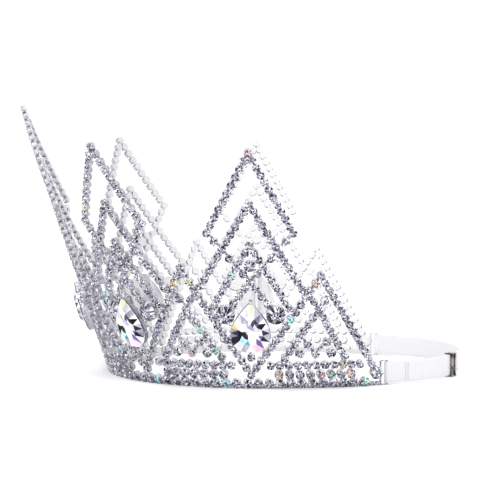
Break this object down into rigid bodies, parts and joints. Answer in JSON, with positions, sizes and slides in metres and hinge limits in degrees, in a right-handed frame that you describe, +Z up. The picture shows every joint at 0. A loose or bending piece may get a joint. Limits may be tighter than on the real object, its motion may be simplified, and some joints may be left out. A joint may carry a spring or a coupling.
{
  "type": "bridal tiara",
  "caption": "Tall flared bridal tiara of cup chain with kite-shaped peaks, pear drops and an adjustable elastic strap that closes it behind the head.",
  "frame": {"origin": "centre of the head opening, on the plane that the band rests on", "axes": "+Z up, the front of the tiara faces -Y, +X is the wearer's left side"},
  "size_m": [0.2248, 0.2193, 0.1317],
  "materials": {
    "crown_metal": "bright silver plate",
    "crystal": "foil-backed faceted crystal with a rainbow coat",
    "drop_crystal": "large faceted crystal with a light rainbow coat",
    "elastic": "ribbed white elastic",
    "thread": "white sewing thread",
    "slider_metal": "polished silver"
  },
  "bodies": {
    "crown": {"front_outer_chain": "crown_metal", "front_middle_chain": "crown_metal", "front_inner_chain": "crown_metal", "front_drop_setting": "crown_metal", "front_drop_stone": "drop_crystal", "front_accent_settings": "crown_metal", "front_stones": "crystal", "left_front_outer_chain": "crown_metal", "left_front_middle_chain": "crown_metal", "left_front_inner_chain": "crown_metal", "left_front_drop_setting": "crown_metal", "left_front_drop_stone": "drop_crystal", "left_front_accent_settings": "crown_metal", "left_front_stones": "crystal", "right_front_outer_chain": "crown_metal", "right_front_middle_chain": "crown_metal", "right_front_inner_chain": "crown_metal", "right_front_drop_setting": "crown_metal", "right_front_drop_stone": "drop_crystal", "right_front_accent_settings": "crown_metal", "right_front_stones": "crystal", "left_side_outer_chain": "crown_metal", "left_side_middle_chain": "crown_metal", "left_side_inner_chain": "crown_metal", "left_side_drop_setting": "crown_metal", "left_side_drop_stone": "drop_crystal", "left_side_accent_settings": "crown_metal", "left_side_stones": "crystal", "right_side_outer_chain": "crown_metal", "right_side_middle_chain": "crown_metal", "right_side_inner_chain": "crown_metal", "right_side_drop_setting": "crown_metal", "right_side_drop_stone": "drop_crystal", "right_side_accent_settings": "crown_metal", "right_side_stones": "crystal", "left_small_1_chain": "crown_metal", "left_small_1_stones": "crystal", "right_small_1_chain": "crown_metal", "right_small_1_stones": "crystal", "left_small_2_chain": "crown_metal", "left_small_2_stones": "crystal", "right_small_2_chain": "crown_metal", "right_small_2_stones": "crystal", "left_small_3_chain": "crown_metal", "left_small_3_stones": "crystal", "right_small_3_chain": "crown_metal", "right_small_3_stones": "crystal", "band_bottom_row": "crown_metal", "band_top_row": "crown_metal", "band_settings": "crown_metal", "band_stones": "crystal", "left_end_loop": "crown_metal", "right_end_loop": "crown_metal", "strap": "elastic", "strap_stitching": "thread"},
    "slider": {"slider_frame": "slider_metal", "slider_bar": "slider_metal"}
  },
  "joints": [
    {"name": "slider_travel", "type": "hinge", "parent": "crown", "child": "slider", "pos_m": [0, 0.03897, 0], "axis": [0, 0, 1], "range_deg": [-26, 60]}
  ]
}
